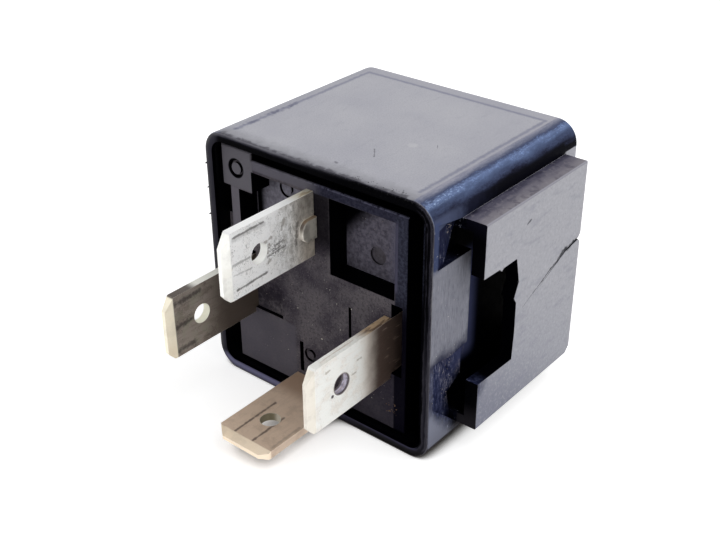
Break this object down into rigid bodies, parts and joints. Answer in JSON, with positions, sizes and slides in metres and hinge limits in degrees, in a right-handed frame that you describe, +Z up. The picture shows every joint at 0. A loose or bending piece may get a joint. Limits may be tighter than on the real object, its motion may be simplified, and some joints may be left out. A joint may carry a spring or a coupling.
{
  "type": "automotive relay",
  "caption": "Small plug-in automotive relay: black case with a bracket socket on one side, moulded base and flat blade terminals, with coil, hinged armature and contacts inside.",
  "frame": {"origin": "point of the base's flat blade face where the case's centre line meets it", "axes": "-Y is the way the blades point, +X is the side with the bracket socket, +Z is up as the relay lies on its lower side"},
  "size_m": [0.0284, 0.0329, 0.0254],
  "materials": {
    "case_plastic": "gloss, scuffed",
    "base_plastic": "grainy, dusty",
    "blade_grey": "tin plated, scratched",
    "blade_pale": "tin plated, browned at the root",
    "blade_brown": "tin plated, tarnished brown",
    "blade_tan": "bare brass, tarnished",
    "contact_silver": "bright",
    "iron": "zinc plated",
    "bobbin_plastic": "matt",
    "copper": "enamelled",
    "tape": "satin",
    "rivet_steel": "plain",
    "spring_bronze": "rolled strip",
    "stop_brass": "rolled strip"
  },
  "bodies": {
    "relay_housing": {"cover": "case_plastic", "base": "base_plastic", "terminal_30": "blade_grey", "terminal_85": "blade_pale", "terminal_86": "blade_brown", "terminal_87": "blade_tan", "fixed_contact": "contact_silver", "yoke": "iron", "core": "iron", "bobbin": "bobbin_plastic", "coil_winding": "copper", "coil_tape": "tape", "coil_lead_85": "copper", "coil_lead_86": "copper", "yoke_rivets": "rivet_steel", "rest_stop": "stop_brass"},
    "armature_assembly": {"armature": "iron", "armature_rivets": "rivet_steel", "contact_spring": "spring_bronze", "moving_contact": "contact_silver"}
  },
  "joints": [
    {"name": "armature_hinge", "type": "hinge", "parent": "relay_housing", "child": "armature_assembly", "pos_m": [-0.0006, 0.01694, 0.0101], "axis": [-1, 0, 0], "range_deg": [0, 2.6], "stiffness_Nm_per_rad": 0.05, "springref_deg": -6.88, "deforming": ["contact_spring"]}
  ]
}
